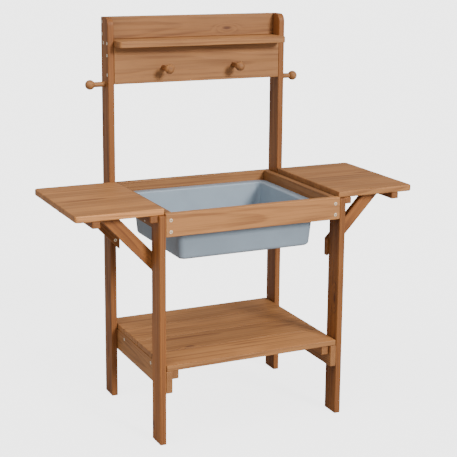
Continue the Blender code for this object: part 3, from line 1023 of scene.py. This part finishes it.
class BENCH_OT_tub(bpy.types.Operator):
    """Make the moulded tub, which lifts out"""

    bl_idname = "bench.tub"
    bl_label = "Tub"

    def execute(self, context):
        low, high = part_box("tub")
        mesh = tub_mesh(low, high, settings("tub"))
        middle = (low + high) / 2
        place = Matrix.Translation((middle.x, middle.y, 0))
        finished("tub_moulding", mesh, place, tub_material(), TUB_BODY, ["tub"])
        return {"FINISHED"}


class BENCH_OT_lower_shelf(bpy.types.Operator):
    """Make the lower rails, the battens inside them and the planks"""

    bl_idname = "bench.lower_shelf"
    bl_label = "Lower shelf"

    def execute(self, context):
        wood = wood_material("shelf_rail_wood", knots=0.35)
        figure = {"knots": 0.5, "waver": 0.009, "spacing": 1.25, "contrast": 0.65, "wear": 0.0}
        planks = wood_material("plank_wood", **figure)
        for k, (side, sign) in enumerate(SIDES):
            through = X * sign
            straight_board(f"{side}_lower_rail", wood, FRAME_SLOT, Y, through, seed=41 + k, tone=1.15)
            straight_board(f"{side}_shelf_batten", wood, FRAME_SLOT, Y, through, seed=43 + k)
        for number in range(1, 5):
            name = f"shelf_plank_{number}"
            # The planks' long edges are painted darker, as shade in the seams between them.
            straight_board(name, planks, BOARD_SLOT, X, Z, seed=45 + number, **PLANK_TONE_AND_PAINTED_SHADE)
        return {"FINISHED"}


class BENCH_OT_side_tables(bpy.types.Operator):
    """Make the two glued side tables and the battens under them"""

    bl_idname = "bench.side_tables"
    bl_label = "Side tables"

    def execute(self, context):
        look = settings("boards")
        panel = wood_material("panel_wood", (1.06, 1.06, 1.06), knots=0.25)
        wood = wood_material("batten_wood", settings("wood").frame_tint, knots=0.3)
        for k, (side, sign) in enumerate(SIDES):
            name = f"{side}_table_panel"
            low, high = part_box(name)
            inner, outer = sorted((low.x, high.x), key=abs)
            corners = [
                ((inner, low.y, 0), PLAIN_CORNER),
                ((outer, low.y, 0), look.table_corner),
                ((outer, high.y, 0), look.table_corner),
                ((inner, high.y, 0), PLAIN_CORNER),
            ]
            # The left table's front and back edges are painted lighter, as an edge lit by the lamp.
            cut = {"strip": look.strip, "edge": look.table_edge, **TABLE_TONE_AND_PAINTED_LIGHT[side]}
            make_board(name, corners, panel, BOARD_SLOT, X, Z, seed=61 + k, **cut)
            for place, seed in (("inner", 63), ("outer", 65)):
                name = f"{side}_{place}_batten"
                straight_board(name, wood, FRAME_SLOT, Y, Z, seed=seed + k, tone=1.03)
        return {"FINISHED"}


class BENCH_OT_braces(bpy.types.Operator):
    """Make the four sloping braces under the side tables"""

    bl_idname = "bench.braces"
    bl_label = "Braces"

    def execute(self, context):
        look = settings("boards")
        wood = wood_material("brace_wood", settings("wood").frame_tint, knots=0.3)
        slope = math.tan(look.brace_slope)
        upright = look.brace_width * math.hypot(1, slope)
        # The lower corner is acute, so its rounding ends well above where the two edges would meet.
        acute = QUARTER - look.brace_slope
        rounded_off = look.brace_corner * (1 / math.tan(acute / 2) - 1)
        for k, (side, sign) in enumerate(SIDES):
            for end, front in (("front", 1), ("rear", -1)):
                name = f"{end}_{side}_brace"
                low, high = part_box(name)
                inner = min(abs(low.x), abs(high.x))
                foot = low.z - rounded_off
                tip = inner + (high.z - foot) / slope
                corners = [
                    (inner, foot + upright, look.brace_corner),
                    (inner, foot, look.brace_corner),
                    (tip, high.z, look.edge_radius),
                    (tip - upright / slope, high.z, look.edge_radius),
                ]
                corners = [((sign * x, 0, z), radius) for x, z, radius in corners]
                grain, seed = X * sign + Z * slope, 71 + 2 * k + front
                make_board(name, corners, wood, FRAME_SLOT, grain, Y * front, seed=seed, tone=1.1)
        return {"FINISHED"}


class BENCH_OT_top_unit(bpy.types.Operator):
    """Make the top shelf, the panel behind it and the board that holds the pegs"""

    bl_idname = "bench.top_unit"
    bl_label = "Top unit"

    def execute(self, context):
        look = settings("boards")
        figure = {"knots": 0.0, "waver": 0.010, "spacing": 1.2, "contrast": 0.5}
        wood = wood_material("top_wood", **figure)
        knotty = wood_material("back_panel_wood", spot=BACK_PANEL_KNOT, **figure)
        low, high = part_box("top_shelf")
        corners = [
            ((low.x, low.y, 0), look.shelf_corner),
            ((high.x, low.y, 0), look.shelf_corner),
            ((high.x, high.y, 0), look.corner),
            ((low.x, high.y, 0), look.corner),
        ]
        make_board("top_shelf", corners, wood, BOARD_SLOT, X, Z, seed=81, tone=0.95)
        straight_board("back_panel", knotty, BOARD_SLOT, X, -Y, seed=83, tone=0.91)
        straight_board("peg_board", wood, BOARD_SLOT, X, -Y, seed=85, tone=0.93)
        return {"FINISHED"}


class BENCH_OT_pegs(bpy.types.Operator):
    """Make the four turned pegs"""

    bl_idname = "bench.pegs"
    bl_label = "Pegs"

    def execute(self, context):
        look = settings("fittings")
        wood = wood_material("peg_wood", knots=0.0, spacing=0.7)
        for side, sign in SIDES:
            for kind, outward in (("front", -Y), ("side", X * sign)):
                name = f"{side}_{kind}_peg"
                low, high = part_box(name)
                middle = (low + high) / 2
                tip = max(outward.dot(low), outward.dot(high))
                face = tip - look.ball - look.reach
                origin = middle + outward * (face - outward.dot(middle))
                place = frame_of(origin, outward, Z)
                mesh = peg_mesh(name, look)
                finished(name + "_turning", mesh, place, wood, FRAME_BODY, [name])
        return {"FINISHED"}


class BENCH_OT_screws(bpy.types.Operator):
    """Make every screw and bolt whose head can be seen"""

    bl_idname = "bench.screws"
    bl_label = "Screws"

    def place_screw(self, name, point, outward, nodes, length=SCREW_LENGTH):
        """A screw whose head's face lies at the point and looks outward."""
        turn = random.Random(name).uniform(0, QUARTER)
        mesh = screw_mesh(name, settings("fittings"), length, turn)
        spin = outward.to_track_quat("Z", "Y").to_matrix().to_4x4()
        place = Matrix.Translation(point) @ spin
        finished(name + "_head", mesh, place, screw_material(), FRAME_BODY, nodes)

    def execute(self, context):
        rows = []
        for side, sign in SIDES:
            rows += [(f"{side}_rail_{level}_screw", -Y) for level in ("upper", "lower")]
            rows += [(f"{side}_lower_rail_{end}_screw", X * sign) for end in ("front", "rear")]
            rows += [(f"front_{side}_brace_bolt", Y), (f"rear_{side}_brace_bolt", -Y)]
            for board in ("back_panel", "peg_board"):
                rows += [(f"{side}_{board}_{level}_screw", X * sign) for level in ("upper", "lower")]
            rows += [(f"{side}_top_shelf_{end}_screw", X * sign) for end in ("front", "rear")]
        for name, outward in rows:
            low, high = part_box(name)
            middle = (low + high) / 2
            face = max(outward.dot(low), outward.dot(high)) + SCREW_SUNK
            point = middle + outward * (face - outward.dot(middle))
            self.place_screw(name, point, outward, [name])
        for side, sign in SIDES:
            low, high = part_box(f"{side}_side_rail")
            outer = max(abs(low.x), abs(high.x))
            point = Vector((sign * outer, CLEAT_SCREW_Y, CLEAT_SCREW_Z))
            name = f"{side}_cleat_screw"
            self.place_screw(name, point, X * sign, [], CLEAT_SCREW_LENGTH)
        return {"FINISHED"}


class BENCH_OT_stage(bpy.types.Operator):
    """Make the floor, the two lamps, the even light and the camera"""

    bl_idname = "bench.stage"
    bl_label = "Stage"

    def place_lamp(self, name, energy, softness, aim):
        """A lamp that shines from the direction aim, as seen from the bench."""
        lamp = bpy.data.lights.new(name, "SUN")
        lamp.energy = energy
        lamp.angle = softness
        lamp.color = LAMP_COLOUR
        stand = bpy.data.objects.new(name, lamp)
        stand.rotation_mode = "QUATERNION"
        stand.rotation_quaternion = aim.to_track_quat("Z", "Y")
        stand.location = aim * LAMP_DISTANCE
        bpy.context.scene.collection.objects.link(stand)

    def execute(self, context):
        look = settings("stage")
        scene = context.scene
        bm = bmesh.new()
        bmesh.ops.create_circle(bm, cap_ends=True, segments=96, radius=FLOOR_RADIUS)
        mesh = bpy.data.meshes.new("floor")
        bm.to_mesh(mesh)
        bm.free()
        mesh.materials.append(floor_material())
        floor = bpy.data.objects.new("floor", mesh)
        scene.collection.objects.link(floor)

        aim = (math.sin(look.key_azimuth), -math.cos(look.key_azimuth), math.tan(look.key_height))
        self.place_lamp("key_lamp", look.key, look.key_softness, Vector(aim))
        self.place_lamp("top_lamp", look.top, look.top_softness, Vector(TOP_LAMP_AIM))

        world = bpy.data.worlds.new("studio")
        world.use_nodes = True
        scene.world = world
        tree = world.node_tree
        seen = node(tree, "LightPath").outputs["Is Camera Ray"]
        light = node(tree, "MapRange", (seen, 0.0, 1.0, look.fill, look.backdrop)).outputs[0]
        join(tree, light, tree.nodes["Background"].inputs["Strength"])
        join(tree, (1.0, 1.0, 1.0), tree.nodes["Background"].inputs["Color"])

        data = bpy.data.cameras.new("studio_camera")
        data.lens = look.lens
        data.sensor_width = SENSOR_WIDTH
        data.shift_y = look.shift
        data.clip_end = FAR_CLIP
        camera = bpy.data.objects.new("studio_camera", data)
        turn, rise = look.azimuth, look.elevation
        level = Vector((math.sin(turn), -math.cos(turn), 0))
        back = level * math.cos(rise) + Z * math.sin(rise)
        right = Vector((math.cos(turn), math.sin(turn), 0))
        up = back.cross(right)
        turned_right = right * math.cos(look.roll) + up * math.sin(look.roll)
        turned_up = up * math.cos(look.roll) - right * math.sin(look.roll)
        matrix = Matrix((turned_right, turned_up, back)).transposed().to_4x4()
        matrix.translation = Vector(look.camera)
        camera.matrix_world = matrix
        scene.collection.objects.link(camera)
        scene.camera = camera
        return {"FINISHED"}


class BENCH_PT_panel(bpy.types.Panel):
    """The steps that build the bench, in order"""

    bl_idname = "BENCH_PT_panel"
    bl_label = "Potting bench"
    bl_space_type = "VIEW_3D"
    bl_region_type = "UI"
    bl_category = "Potting bench"

    def draw(self, context):
        column = self.layout.column(align=True)
        for operator in OPERATORS:
            column.operator(operator.bl_idname)
        for name, kind in SETTINGS.items():
            box = self.layout.box()
            for label in kind.__annotations__:
                box.prop(getattr(context.scene, name), label)


OPERATORS = (
    BENCH_OT_legs,
    BENCH_OT_tub_frame,
    BENCH_OT_tub,
    BENCH_OT_lower_shelf,
    BENCH_OT_side_tables,
    BENCH_OT_braces,
    BENCH_OT_top_unit,
    BENCH_OT_pegs,
    BENCH_OT_screws,
    BENCH_OT_stage,
)
CLASSES = (*SETTINGS.values(), *OPERATORS, BENCH_PT_panel)


def register():
    for made in CLASSES:
        bpy.utils.register_class(made)
    for name, kind in SETTINGS.items():
        setattr(bpy.types.Scene, name, bpy.props.PointerProperty(type=kind))


def unregister():
    for name in SETTINGS:
        delattr(bpy.types.Scene, name)
    for made in reversed(CLASSES):
        bpy.utils.unregister_class(made)


def main():
    register()
    for operator in OPERATORS:
        group, action = operator.bl_idname.split(".")
        getattr(getattr(bpy.ops, group), action)()
    bpy.context.view_layer.update()


if __name__ == "__main__":
    main()
